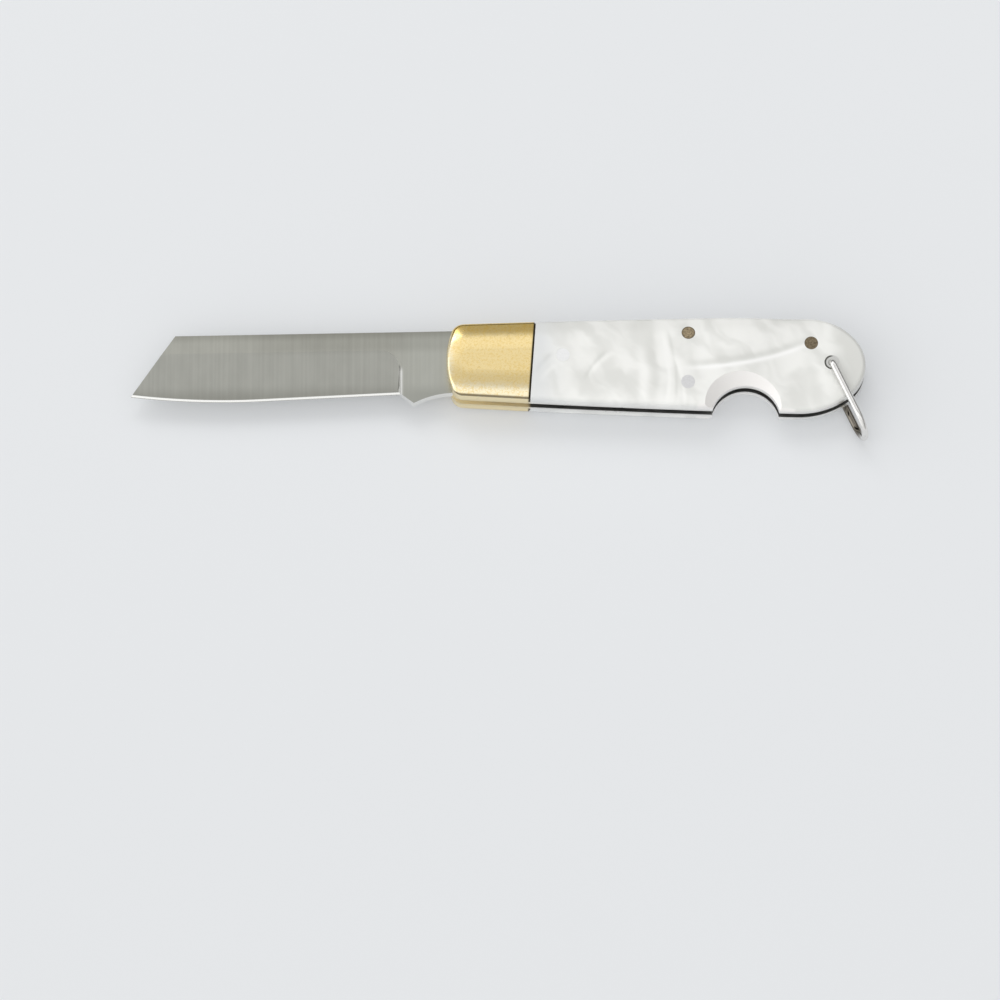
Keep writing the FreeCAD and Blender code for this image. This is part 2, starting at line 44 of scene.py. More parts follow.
class Shade:
    """One output of a node tree. Sums on it add Math nodes, and node() adds any other node."""

    def __init__(self, tree, socket=None):
        self.tree = tree
        self.socket = socket

    def node(self, kind, settings, inputs, output=0):
        """Adds a node: its settings first, then the values or links of its sockets."""
        node = self.tree.nodes.new(kind)
        for name, value in settings.items():
            setattr(node, name, value)
        for name, value in inputs.items():
            if isinstance(value, Shade):
                self.tree.links.new(value.socket, node.inputs[name])
            else:
                node.inputs[name].default_value = value
        return Shade(self.tree, node.outputs[output])

    def math(self, operation, *values):
        return self.node("ShaderNodeMath", {"operation": operation}, dict(enumerate(values)))

    def __add__(self, other):
        return self.math("ADD", self, other)

    def __radd__(self, other):
        return self.math("ADD", other, self)

    def __sub__(self, other):
        return self.math("SUBTRACT", self, other)

    def __rsub__(self, other):
        return self.math("SUBTRACT", other, self)

    def __mul__(self, other):
        return self.math("MULTIPLY", self, other)

    def __rmul__(self, other):
        return self.math("MULTIPLY", other, self)

    def __truediv__(self, other):
        return self.math("DIVIDE", self, other)

    def __rtruediv__(self, other):
        return self.math("DIVIDE", other, self)

    def __pow__(self, other):
        return self.math("POWER", self, other)

    def __rpow__(self, other):
        return self.math("POWER", other, self)

    def __abs__(self):
        return self.math("ABSOLUTE", self)

    def most(self, other):
        """The larger of two values."""
        return self.math("MAXIMUM", self, other)

    def least(self, other):
        """The smaller of two values."""
        return self.math("MINIMUM", self, other)

    def step(self, low, high):
        """0 below low, 1 above high and smooth between them."""
        return self.node("ShaderNodeMapRange", {"interpolation_type": "SMOOTHSTEP"},
                         {"Value": self, "From Min": low, "From Max": high})

    def fade(self, low, high):
        """1 below low, 0 above high and smooth between them."""
        return 1.0 - self.step(low, high)

    def bell(self, middle, width):
        """1 at the middle, falling away to either side as a bell curve."""
        away = (self - middle) / width
        return math.e ** (away * away * -1.0)

    def mix(self, first, second):
        """Colour from first to second as this value goes from 0 to 1."""
        settings = {"data_type": "RGBA", "blend_type": "MIX"}
        return self.node("ShaderNodeMix", settings, {0: self, 6: first, 7: second}, 2)

    def vary(self, value, levels):
        """A colour property from its first level to its second as this value goes from 0 to 1."""
        first, second = levels
        return self.mix(colour(value, first), colour(value, second))

    def stretched(self, scale):
        """A place with each direction multiplied by its own number."""
        return self.node("ShaderNodeVectorMath", {"operation": "MULTIPLY"}, {0: self, 1: scale})

    def noise(self, scale, detail, roughness=0.5):
        inputs = {"Vector": self, "Scale": scale, "Detail": detail, "Roughness": roughness}
        return self.node("ShaderNodeTexNoise", {"noise_dimensions": "3D"}, inputs)

    def split(self):
        """The three parts of a vector."""
        first = self.node("ShaderNodeSeparateXYZ", {}, {"Vector": self})
        outputs = first.socket.node.outputs
        return [Shade(self.tree, output) for output in outputs]

    def bump(self, strength, distance):
        inputs = {"Height": self, "Strength": strength, "Distance": distance}
        return self.node("ShaderNodeBump", {}, inputs)


class Finish:
    """A new material with its surface shader, and places on the piece in millimetres."""

    def __init__(self, name, **constants):
        self.material = bpy.data.materials.new(name)
        self.material.use_nodes = True
        self.tree = self.material.node_tree
        self.surface = self.tree.nodes["Principled BSDF"]
        for socket, value in constants.items():
            self.surface.inputs[socket.replace("_", " ")].default_value = value
        start = Shade(self.tree)
        self.place = start.node("ShaderNodeTexCoord", {}, {}, "Object").stretched((PER_MM,) * 3)
        self.facing = start.node("ShaderNodeTexCoord", {}, {}, "Normal")

    def feed(self, **links):
        for socket, value in links.items():
            self.tree.links.new(value.socket, self.surface.inputs[socket.replace("_", " ")])

    def put_on(self, names):
        for name in names:
            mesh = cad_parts[name].data
            mesh.materials.clear()
            mesh.materials.append(self.material)


def colour(value, level=1.0):
    """A colour property as the four numbers of a colour socket, made lighter or darker by level."""
    return tuple(part * level for part in value) + (1.0,)


def both_sides(*names):
    return [side + name for side in SIDES for name in names]


def middle_of(node):
    """Middle of a node's box, in millimetres."""
    low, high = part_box(node)
    return (low + high) / 2 * PER_MM


def distance_to(along, across, middle):
    """Distance in the plan from a middle, in millimetres."""
    aside = along - middle.x
    ahead = across - middle.y
    return (aside * aside + ahead * ahead) ** 0.5


# Shares of a stroke's length between which it appears at its start and fades at its end
STROKE_START = (-0.1, 0.2)
STROKE_END = (0.8, 1.1)


def stroke(along, across, start, end, bow, width):
    """Soft line in the plan from start to end, bowed to its left: 1 on the line and 0 away from it."""
    run = Vector(end) - Vector(start)
    way = run.normalized()
    from_start = along - start[0]
    above_start = across - start[1]
    share = from_start * (way.x / run.length) + above_start * (way.y / run.length)
    aside = above_start * way.x - from_start * way.y - share * (1.0 - share) * (4.0 * bow)
    return aside.bell(0.0, width) * share.step(*STROKE_START) * share.fade(*STROKE_END)


# Sizes and colours that a user would change

def colour_property(name, description, default):
    return FloatVectorProperty(name=name, description=description, default=default, size=3,
                               min=0.0, max=1.0, subtype="COLOR")


def share_property(name, description, default):
    return FloatProperty(name=name, description=description, default=default, min=0.0, max=1.0,
                         subtype="FACTOR")


def length_property(name, description, default):
    return FloatProperty(name=name, description=description, default=default, min=0.0,
                         subtype="DISTANCE", unit="LENGTH")


class KnifeSteel(PropertyGroup):
    ground: colour_property("Ground Steel", "Colour of the blade's ground sides", (0.42, 0.422, 0.385))
    flat: colour_property("Flat Steel", "Colour of the flat band along the spine", (0.40, 0.40, 0.36))
    root: colour_property("Blade Root", "Colour of the flat root of the blade", (0.425, 0.43, 0.39))
    # Cutting Edge is the polished bevel's colour, used as a painted highlight on the bevel's bright line
    # and on the plunge line
    edge: colour_property("Cutting Edge", "Colour of the bevel and the plunge line", (0.80, 0.80, 0.78))
    # Dull Steel is painted shade, mixed in along the spine, in a band below it and just above the bevel
    dull: colour_property("Dull Steel", "Colour mixed in where the blade is dim", (0.10, 0.095, 0.07))
    # Root Edges is a painted reflection: the root's lower edges are near white
    wall: colour_property("Root Edges", "Colour of the root's polished lower edges", (0.95, 0.95, 0.93))
    liner: colour_property("Liners", "Colour of the liners", (0.86, 0.855, 0.83))
    spring: colour_property("Back Spring", "Colour of the back spring", (0.50, 0.50, 0.48))
    roughness: share_property("Roughness", "How far the grinding scatters a reflection", 0.30)
    streak: length_property("Streak Spacing", "Spacing of the grinding streaks", 0.9 * MM)


class KnifeBrass(PropertyGroup):
    polished: colour_property("Polished Brass", "Colour of the clean brass", (0.87, 0.70, 0.36))
    # Side Brass is a painted reflection: paler, brighter upright sides, also on the liners between the
    # bolsters
    wall: colour_property("Side Brass", "Colour of the bolsters' upright sides and the liners between them",
                          (1.0, 0.87, 0.56))
    # Rubbed Brass is a painted highlight along the belly and nose
    rubbed: colour_property("Rubbed Brass", "Colour of the brass along its belly and nose",
                            (0.86, 0.77, 0.54))
    # Tarnish darkens random specks, and along the back it is painted shade
    tarnish_and_shade: colour_property("Tarnish", "Colour of the dulled brass", (0.82, 0.57, 0.16))
    # Seam Grime darkens the seam, and along the lower rim it is painted shade
    grime: colour_property("Seam Grime", "Colour of the grime in the seam and along the lower rim",
                           (0.09, 0.07, 0.04))
    roughness: share_property("Roughness", "How far the polish scatters a reflection", 0.13)
    speck: length_property("Speck Size", "Size of the specks in the brass", 0.55 * MM)


class KnifePearl(PropertyGroup):
    bright: colour_property("Bright Pearl", "Colour of the light clouds", (0.905, 0.905, 0.875))
    shade: colour_property("Pearl Shade", "Colour between the clouds", (0.68, 0.683, 0.65))
    cool: colour_property("Cool Pearl", "Tint of the pearl beside the bolsters", (0.66, 0.68, 0.69))
    ribbon_colour: colour_property("Ribbon", "Colour of the bright ribbon towards the butt", (0.97, 0.97, 0.955))
    warm: colour_property("Cut Pearl", "Tint where the notch cuts through the pearl", (0.88, 0.86, 0.835))
    cloud: length_property("Cloud Size", "Size of the pearl's clouds", 7.0 * MM)
    ribbon: length_property("Ribbon Width", "Width of the bright ribbon towards the butt", 0.6 * MM)


class KnifePins(PropertyGroup):
    bronze: colour_property("Bronze Rivets", "Colour of the through rivets", (0.36, 0.29, 0.19))
    dark: colour_property("Rivet Grime", "Colour of the grime on a rivet", (0.10, 0.08, 0.055))
    pale: colour_property("Rear Pins", "Colour of the rear pins in the scales", (0.74, 0.74, 0.745))
    faint: colour_property("Front Pins", "Colour of the front pins in the scales", (0.93, 0.935, 0.935))


class KnifeBail(PropertyGroup):
    chrome: colour_property("Chrome", "Colour of the bail", (0.82, 0.81, 0.79))
    # Worn Chrome is painted shade, tinted brownish, on the lower leg under the handle
    lower_leg_shade: colour_property("Worn Chrome", "Colour of the bail's browned lower leg", (0.22, 0.20, 0.17))
    tube: colour_property("Tube", "Colour of the end of the bail's tube", (0.66, 0.66, 0.64))
    # Tube Gap is painted shade: a dark crescent round one side of the tube's end
    gap: colour_property("Tube Gap", "Colour of the gap on one side of the tube", (0.10, 0.10, 0.09))
    roughness: share_property("Roughness", "How far the chrome scatters a reflection", 0.08)


class KnifeStudio(PropertyGroup):
    floor: colour_property("Floor", "Colour of the surface that the knife lies on", (0.775, 0.791, 0.807))
    backdrop: colour_property("Backdrop", "Colour that veils the floor's shadow", (0.791, 0.807, 0.823))
    veil: share_property("Shadow Veil", "How much of the floor's shadow is veiled", 0.30)
    level: share_property("Surroundings", "Brightness of the surroundings", 0.88)
    distance: length_property("Camera Distance", "Camera to the point that it looks at", 1.3067)


GROUPS = {
    "knife_steel": KnifeSteel,
    "knife_brass": KnifeBrass,
    "knife_pearl": KnifePearl,
    "knife_pins": KnifePins,
    "knife_bail": KnifeBail,
    "knife_studio": KnifeStudio,
}

# In the values below, places are in millimetres, a noise is its scale for each millimetre, its detail and
# its roughness, levels are two multiples of a colour, a tilt is between two upright parts of a face's
# normal, and a bump is its strength and its height in metres.


# Blade

STREAK_RUN = 0.02               # waves of a streak for each millimetre across the blade
STREAK_NOISE = (1.0, 0.0)
FINE_STREAKS = 1.7              # fine streaks for each coarse one
BLOTCH_STRETCH = (0.9, 0.5, 0.5)
BLOTCH_NOISE = (0.35, 2.0, 0.5)
COARSE_PART = 0.35              # parts of the wear
FINE_PART = 0.3
BLOTCH_PART = 0.35
WEAR_FADE = (0.3, 0.7)
STREAK_LEVELS = (0.94, 1.06)
ROOT_LEVELS = (0.96, 1.04)
LOW_ROOT_LEVEL = 0.84
BEVEL_LEVEL = 0.6               # level of the bevel beside its bright line
SPINE_LEVEL = 1.2
FLAT_TILT = (0.9975, 0.9993)    # from the ground sides to the flats
BEVEL_TILT = (0.955, 0.975)     # from the bevel to the ground sides
WALL_TILT = (0.3, 0.5)          # from the narrow sides to the bevel
SPINE_FACING = (-0.5, -0.1)     # how far a narrow side faces the back, from the lower edges to the spine
ROOT_REACH = 17.0               # pivot to the plunge line at the blade's root
ROOT_FADE = 5.0
ROOT_LOW = (-6.5, -2.5)         # across from the pivot, where the root dims towards its lower edge
SPINE_FALL = 0.0192             # how much the spine falls for each millimetre towards the tip
# Painted shade: a dark line along the spine, a dimmer band below it and a dim strip just above the bevel
SPINE_FADE = (0.0, 2.2)         # below the spine, where the dim line along it fades out
SPINE_SHADE = 0.24
BAND_FADE = (3.4, 5.8)          # below the spine, where the dimmer band fades out
BAND_REACH = (44.0, 58.0)       # pivot to where the band fades out towards the tip
BAND_SHADE = 0.16
EDGE_FADE = (0.28, 0.62)        # half of the blade's thickness where it is dim above the bevel
EDGE_SHADE = 0.27
# Painted highlight: a bright line along the middle of the polished bevel, with the bevel dimmed beside it,
# and a bright plunge line
BEVEL_START = (0.05, 0.11)      # half of the thickness where the bevel brightens
BEVEL_END = (0.25, 0.32)        # half of the thickness where the bevel dims again
BEVEL_POLISH = 0.10             # how much smoother the bevel is
PLUNGE_REACH = 17.2             # pivot to the bright plunge line
PLUNGE_WIDTH = 0.38
PLUNGE_FADE = (-0.6, 1.2)       # across from the pivot, where the bright plunge line fades out


def blade_wear(finish, steel):
    """Streaks across the blade with soft blotches, from 0 to 1."""
    spacing = 1.0 / (steel.streak * PER_MM)
    coarse = finish.place.stretched((spacing, STREAK_RUN, STREAK_RUN)).noise(*STREAK_NOISE)
    fine = finish.place.stretched((FINE_STREAKS * spacing, STREAK_RUN, STREAK_RUN)).noise(*STREAK_NOISE)
    blotches = finish.place.stretched(BLOTCH_STRETCH).noise(*BLOTCH_NOISE)
    return (coarse * COARSE_PART + fine * FINE_PART + blotches * BLOTCH_PART).step(*WEAR_FADE)


def blade_finish(steel):
    """Satin steel with faint streaks, painted shade along the spine and above the bevel, and painted
    highlights on the bevel, the plunge line and the root's lower edges.
    """
    finish = Finish("blade_steel", Metallic=1.0)
    along, across, up = finish.place.split()
    ahead, upright = finish.facing.split()[1:]
    tilt = abs(upright)
    flat = tilt.step(*FLAT_TILT)
    bevel = tilt.fade(*BEVEL_TILT)
    wall = tilt.fade(*WALL_TILT)
    pivot = middle_of("pivot_pin")
    reach = pivot.x - along
    height = across - pivot.y
    thickness = abs(up - pivot.z)
    depth = (along - pivot.x) * SPINE_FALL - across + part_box("blade")[1].y * PER_MM

    worn = blade_wear(finish, steel)
    root = worn.vary(steel.root, ROOT_LEVELS)
    root = height.step(*ROOT_LOW).mix(colour(steel.root, LOW_ROOT_LEVEL), root)
    band = worn.vary(steel.flat, STREAK_LEVELS)
    flats = reach.step(ROOT_REACH - ROOT_FADE, ROOT_REACH + ROOT_FADE).mix(root, band)
    faces = flat.mix(worn.vary(steel.ground, STREAK_LEVELS), flats)
    # Painted shade along the spine, in the band below it and just above the bevel
    spine_shade = depth.fade(*SPINE_FADE) * SPINE_SHADE
    band_shade = depth.fade(*BAND_FADE) * reach.fade(*BAND_REACH) * BAND_SHADE
    bevel_top_shade = thickness.fade(*EDGE_FADE) * EDGE_SHADE
    tone = (spine_shade + band_shade + bevel_top_shade).mix(faces, colour(steel.dull))

    # Painted highlights: the plunge line, and a bright line along the polished bevel
    plunge = reach.bell(PLUNGE_REACH, PLUNGE_WIDTH) * height.fade(*PLUNGE_FADE)
    tone = plunge.mix(tone, colour(steel.edge))
    edge = thickness.step(*BEVEL_START) * thickness.fade(*BEVEL_END)
    bright = edge.most(plunge).mix(colour(steel.ground, BEVEL_LEVEL), colour(steel.edge))
    # Painted reflection: the narrow lower edges of the root are near white
    narrow = ahead.step(*SPINE_FACING).mix(colour(steel.wall), colour(steel.ground, SPINE_LEVEL))
    tone = wall.mix(bevel.mix(tone, bright), narrow)
    finish.feed(Base_Color=tone, Roughness=steel.roughness - bevel * BEVEL_POLISH)
    return finish


# Liners and spring

LINE_STRETCH = (0.1, 5.0, 5.0)
LINE_NOISE = (1.0, 3.0, 0.6)
LINED_DULL_NOISE = (0.35, 3.0, 0.6)
LINE_PART = 0.6                 # parts of the wear
LINED_DULL_PART = 0.4
LINED_LEVELS = (0.90, 1.06)
# Painted shade: the inner faces in the slot and the faces turned to the back take a darker copy of the
# steel
INNER_TILT = (0.5, 0.8)
INNER_LEVEL = 0.5
BACK_FACING = (0.3, 0.7)        # how far a face turns to the back, where the steel darkens
BACK_SHARE = 0.5                # how much of the inner faces' darkness the back has
FRONT_FADE = (-2.0, -1.0)       # along from the bolsters' seam, where the front tint ends
FRONT_LEVEL = 0.9
LINED_ROUGHNESS = 0.22
LINED_DULL_ROUGHNESS = 0.16
INNER_FRONT_ROUGHNESS = 0.3
LINED_BUMP = (0.06, 0.00003)


def lined_steel_finish(name, tint, front_tint):
    """Steel lined along the knife, with painted shade on its inner and back faces, tinted between the
    bolsters.
    """
    finish = Finish(name, Metallic=1.0)
    along = finish.place.split()[0]
    ahead, upright = finish.facing.split()[1:]
    inner = abs(upright).step(*INNER_TILT)
    back = ahead.step(*BACK_FACING)
    lines = finish.place.stretched(LINE_STRETCH).noise(*LINE_NOISE)
    dull = finish.place.noise(*LINED_DULL_NOISE)
    tone = (lines * LINE_PART + dull * LINED_DULL_PART).step(*WEAR_FADE).vary(tint, LINED_LEVELS)
    # Painted shade on the inner faces and the back faces
    tone = inner.most(back * BACK_SHARE).mix(tone, colour(tint, INNER_LEVEL))
    # Between the bolsters the front tint is mixed in; for the liners it is Side Brass, with its painted
    # reflection
    front = (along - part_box("top_bolster")[1].x * PER_MM).fade(*FRONT_FADE)
    tone = front.mix(tone, colour(front_tint, FRONT_LEVEL))
    rough = LINED_ROUGHNESS + dull * LINED_DULL_ROUGHNESS + inner * front * INNER_FRONT_ROUGHNESS
    finish.feed(Base_Color=tone, Roughness=rough, Normal=lines.bump(*LINED_BUMP))
    return finish


# Bolsters

SPECK_DETAIL = 3.0
SPECK_ROUGHNESS = 0.65
HAZE_NOISE = (0.22, 3.0, 0.5)
RUB_STRETCH = (0.3, 3.5, 3.5)
RUB_NOISE = (1.0, 3.0, 0.6)
SPECK_PART = 0.8                # parts of the dullness
HAZE_PART = 0.2
DULLED_FADE = (0.45, 0.62)
DULLED_SHARE = 0.45
BRASS_BACK = (-4.0, -2.2)       # across from the bolster's back edge, where painted shade darkens it
BRASS_BACK_SHARE = 0.6
TARNISH_LEVEL = 0.95
# Painted highlight: paler brass along the belly and nose
BELLY_LEAN = 0.06               # how far the pale belly rises for each millimetre towards the nose
BELLY_FADE = (2.2, 4.5)         # above the bolster's lowest point, where the pale belly fades out
NOSE_FADE = (0.4, 2.4)          # along from the bolster's front, where the pale nose fades out
BRASS_WALL_TILT = (0.08, 0.2)
# Painted shade: a dark line along the bolsters' lower rim
RIM_FACING = (0.55, 0.7)        # how far the dark lower rim faces the belly
RIM_TILT = (0.1, 0.3)
RIM_SHARE = 0.85
RIM_LEVEL = 2.0
SEAM_FACING = (0.25, 0.6)       # how far the seam's face turns to the butt
SEAM_LEAN = 0.07                # how far the seam leans along the knife for each millimetre across it
SEAM_STAIN = (-0.75, -0.3)      # along from the seam, where the stain beside it begins
STAIN_SHARE = 0.6
DULLED_ROUGHNESS = 0.05
HAZE_ROUGHNESS = 0.05
BRASS_WALL_ROUGHNESS = 0.15
BRASS_BUMP = (0.03, 0.00002)


def brass_finish(brass):
    """Polished brass with tarnished specks, painted shade at back and lower rim, painted highlight on belly
    and nose, painted reflection on its sides, dark seam.
    """
    finish = Finish("bolster_brass", Metallic=1.0)
    along, across = finish.place.split()[:2]
    lengthways, crossways, upright = finish.facing.split()
    slope = abs(upright)
    low, high = [corner * PER_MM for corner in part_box("top_bolster")]
    specks = finish.place.noise(1.0 / (brass.speck * PER_MM), SPECK_DETAIL, SPECK_ROUGHNESS)
    haze = finish.place.noise(*HAZE_NOISE)
    rubbed = finish.place.stretched(RUB_STRETCH).noise(*RUB_NOISE)
    dulled = (specks * SPECK_PART + haze * HAZE_PART).step(*DULLED_FADE)

    back = (across - high.y).step(*BRASS_BACK)
    # Painted highlight along the belly and nose
    belly = (across + along * BELLY_LEAN - low.y).fade(*BELLY_FADE)
    nose = (along - low.x).fade(*NOSE_FADE)
    pale = belly.most(nose) * (1.0 - back)
    tone = pale.mix(colour(brass.polished), colour(brass.rubbed))
    # Tarnish in random specks, with painted shade along the back
    tarnish_and_shade = dulled * DULLED_SHARE + back * BRASS_BACK_SHARE
    tone = tarnish_and_shade.mix(tone, colour(brass.tarnish_and_shade, TARNISH_LEVEL))

    # Painted reflection: the upright sides are paler and brighter
    wall = slope.fade(*BRASS_WALL_TILT)
    tone = wall.mix(tone, colour(brass.wall))
    # Painted shade along the lower rim
    rim = (crossways * -1.0).step(*RIM_FACING) * slope.step(*RIM_TILT)
    tone = (rim * RIM_SHARE).mix(tone, colour(brass.grime, RIM_LEVEL))
    seam = lengthways.step(*SEAM_FACING)
    seam_x = high.x + (across - high.y) * SEAM_LEAN
    stain = (along - seam_x).step(*SEAM_STAIN) * STAIN_SHARE
    tone = seam.most(stain).mix(tone, colour(brass.grime))
    rough = brass.roughness + dulled * DULLED_ROUGHNESS + (haze - 0.5) * HAZE_ROUGHNESS
    rough = rough + wall * BRASS_WALL_ROUGHNESS
    height = specks * 0.5 + rubbed * 0.5
    finish.feed(Base_Color=tone, Roughness=rough, Normal=height.bump(*BRASS_BUMP))
    return finish


# Scales

PEARL_ROUGHNESS = 0.30
PEARL_COAT_ROUGHNESS = 0.04
PEARL_IOR = 1.49
WARP_SCALE = 0.9                # scale of the warping noise, from the clouds' own
WARP_DETAIL = 2.0
SWIRL_LEAN = 0.7                # how the clouds lean, flatten and are drawn out by the warp
SWIRL_FLAT = 0.55
SWIRL_TURN = 0.2
SWIRL_DEEP = 0.4
SWIRL_WARP = (9.0, 6.0)
CLOUD_NOISE = (1.2, 2.0, 0.45)  # scale from the clouds' own, detail and roughness
CLOUD_FADE = (0.3, 0.7)
CLOUD_SHARE = 0.5
PEARL_START = 0.3               # tone between the clouds
DRIFT = 0.9                     # how far the warp moves a stroke
RIBBON_START = (0.0, 3.4, 0.0)  # start of the ribbon, from the rear scale pin
RIBBON_BOW = -1.7
RIBBON_SHARE = 0.9
SHADOW_LIFT = 2.0               # widths of the ribbon between it and the dim line above it
SHADOW_WIDTH = 1.6
SHADOW_DIM = 0.45
# Painted shade: the pearl darkens towards the butt
BUTT_DIM = 0.6
BUTT_FADE = (2.0, 10.0)         # along from the butt rivet, where the pearl dims
COOL_OFFSET = 6.5               # middle of the cool pearl, ahead of the front pin
COOL_WIDTH = 5.0
COOL_SHARE = 0.35
COOL_CLOUDS = 0.4
NOTCH_MIDDLE = Vector((58.15, -10.42))
NOTCH_REACH = 11.2              # notch's middle to the outer edge of its bevel
NOTCH_FADE = 1.0
CUT_TILT = (0.80, 0.94)
# Strokes in the pearl: the pin that they are placed from, start, end, bow, width and change of tone
PEARL_STROKES = (
    ("rear", (-11.2, 9.0), (-11.0, -5.0), 0.6, 1.1, 0.30),
    ("rear", (-8.7, 13.0), (-8.2, -5.0), 0.5, 1.2, -0.30),
    ("rear", (-5.8, 12.0), (-5.0, -5.0), 0.9, 0.5, 0.28),
    ("rear", (-4.8, 13.0), (-3.2, -5.0), 1.0, 0.45, -0.32),
    ("rear", (-3.4, 7.0), (-1.0, -6.0), 0.8, 0.5, 0.28),
    ("front", (5.9, -4.8), (11.8, 0.6), 0.3, 0.7, 0.34),
    ("front", (4.9, -6.0), (10.0, 0.8), 0.3, 0.5, -0.34),
    ("front", (-6.6, -4.4), (-2.6, 0.4), 0.3, 0.6, -0.42),
    ("front", (-5.4, -6.5), (-1.6, -2.5), 0.3, 0.6, 0.30),
)


def pearl_clouds(finish, pearl):
    """The pearl's warping noise and its clouds, both from 0 to 1."""
    along, across, up = finish.place.split()
    scale = 1.0 / (pearl.cloud * PER_MM)
    warp = finish.place.noise(scale * WARP_SCALE, WARP_DETAIL)
    warp_along, warp_across = SWIRL_WARP
    swirl = finish.place.node("ShaderNodeCombineXYZ", {}, {
        "X": along + across * SWIRL_LEAN + warp * warp_along,
        "Y": across * SWIRL_FLAT - along * SWIRL_TURN + warp * warp_across,
        "Z": up * SWIRL_DEEP,
    })
    cloud_scale, detail, roughness = CLOUD_NOISE
    return warp, swirl.noise(scale * cloud_scale, detail, roughness).step(*CLOUD_FADE)


def pearl_finish(pearl):
    """Polished pearly plastic: soft clouds, bright and dim strokes, and one long ribbon to the butt."""
    finish = Finish("scale_pearl", Roughness=PEARL_ROUGHNESS, Coat_Weight=1.0,
                    Coat_Roughness=PEARL_COAT_ROUGHNESS, IOR=PEARL_IOR)
    along, across = finish.place.split()[:2]
    upright = finish.facing.split()[2]
    warp, clouds = pearl_clouds(finish, pearl)
    pins = {"rear": middle_of("top_rear_scale_pin"), "front": middle_of("top_front_scale_pin")}
    rivet = middle_of("butt_rivet")

    width = pearl.ribbon * PER_MM
    start = pins["rear"] + Vector(RIBBON_START)
    lift = Vector((0.0, SHADOW_LIFT * width, 0.0))
    ribbon = stroke(along, across, start.xy, rivet.xy, RIBBON_BOW, width)
    shadow = stroke(along, across, (start + lift).xy, (rivet + lift).xy, RIBBON_BOW, SHADOW_WIDTH * width)
    tone = clouds * CLOUD_SHARE + PEARL_START - shadow * SHADOW_DIM
    drift = (warp - 0.5) * DRIFT
    drift_x = along + drift
    drift_y = across + drift
    for pin, begin, end, bow, wide, change in PEARL_STROKES:
        middle = pins[pin].xy
        line = stroke(drift_x, drift_y, middle + Vector(begin), middle + Vector(end), bow, wide)
        tone = tone + line * change
    # Painted shade towards the butt
    tone = tone - (along - rivet.x).step(*BUTT_FADE) * BUTT_DIM

    base = tone.step(0.0, 1.0).mix(colour(pearl.shade), colour(pearl.bright))
    cool = along.bell(pins["front"].x - COOL_OFFSET, COOL_WIDTH) * (COOL_SHARE + clouds * COOL_CLOUDS)
    base = cool.mix(base, colour(pearl.cool))
    # A bright ribbon towards the butt
    base = (ribbon * RIBBON_SHARE).mix(base, colour(pearl.ribbon_colour))
    near_notch = distance_to(along, across, NOTCH_MIDDLE).fade(NOTCH_REACH, NOTCH_REACH + NOTCH_FADE)
    cut = near_notch * abs(upright).fade(*CUT_TILT)
    finish.feed(Base_Color=cut.mix(base, colour(pearl.warm)))
    return finish


# Rivets and scale pins

MOTTLE_NOISE = (2.4, 3.0, 0.65)
FILED_STRETCH = (1.0, 6.0, 1.0)
FILED_NOISE = (1.4, 2.0, 0.6)
MOTTLE_PART = 0.7               # parts of the wear
FILED_PART = 0.3
BRONZE_FADE = (0.35, 0.68)
BRONZE_LEVELS = (0.55, 1.5)
GRIME_RING = (1.2, 1.6)         # from a rivet's middle, where the grime round it begins
GRIME_SHARE = 0.5
BUTT_GRIME_RING = (1.6, 2.0)    # from the butt rivet's middle, where the grime all over it ends
BUTT_GRIME_SHARE = 0.55
BRONZE_ROUGHNESS = 0.38
BRONZE_MOTTLE_ROUGHNESS = 0.2
BRONZE_BUMP = (0.12, 0.00004)
PIN_NOISE = (1.8, 3.0, 0.6)
PIN_FADE = (0.35, 0.65)
FRONT_PIN_LEVELS = (0.96, 1.0)
REAR_PIN_LEVELS = (0.97, 1.03)
PIN_ROUGHNESS = 0.42
PIN_MOTTLE_ROUGHNESS = 0.1
PIN_BUMP = (0.015, 0.00003)


def bronze_finish(pins, nodes):
    """Dulled mottled bronze of the through rivets, with grime round both and all over the second."""
    finish = Finish("rivet_bronze", Metallic=1.0)
    along, across = finish.place.split()[:2]
    mottle = finish.place.noise(*MOTTLE_NOISE)
    filed = finish.place.stretched(FILED_STRETCH).noise(*FILED_NOISE)
    base = (mottle * MOTTLE_PART + filed * FILED_PART).step(*BRONZE_FADE).vary(pins.bronze, BRONZE_LEVELS)
    first, second = [distance_to(along, across, middle_of(node)) for node in nodes]
    ring = first.least(second).step(*GRIME_RING) * (GRIME_SHARE + mottle * GRIME_SHARE)
    grime = ring.most(second.fade(*BUTT_GRIME_RING) * BUTT_GRIME_SHARE)
    finish.feed(Base_Color=grime.mix(base, colour(pins.dark)),
                Roughness=BRONZE_ROUGHNESS + mottle * BRONZE_MOTTLE_ROUGHNESS,
                Normal=(mottle + filed).bump(*BRONZE_BUMP))
    return finish


def pale_pin_finish(pins):
    """Pale metal of the blind pins in the scales, the front ones paler than the rear ones."""
    finish = Finish("pin_metal", Metallic=1.0)
    along = finish.place.split()[0]
    mottle = finish.place.noise(*PIN_NOISE)
    grain = mottle.step(*PIN_FADE)
    front = grain.vary(pins.faint, FRONT_PIN_LEVELS)
    rear = grain.vary(pins.pale, REAR_PIN_LEVELS)
    half_way = (middle_of("top_front_scale_pin").x + middle_of("top_rear_scale_pin").x) / 2
    base = along.step(half_way - 1.0, half_way + 1.0).mix(front, rear)
    finish.feed(Base_Color=base, Roughness=PIN_ROUGHNESS + mottle * PIN_MOTTLE_ROUGHNESS,
                Normal=mottle.bump(*PIN_BUMP))
    return finish


# Bail and tube

CHROME_NOISE = (0.9, 4.0, 0.65)
CHROME_FADE = (0.4, 0.7)
CHROME_LEVELS = (1.0, 0.88)
CHROME_RUB = (0.5, 0.75)
CHROME_RUB_ROUGHNESS = 0.10
CHROME_BUMP = (0.03, 0.00003)
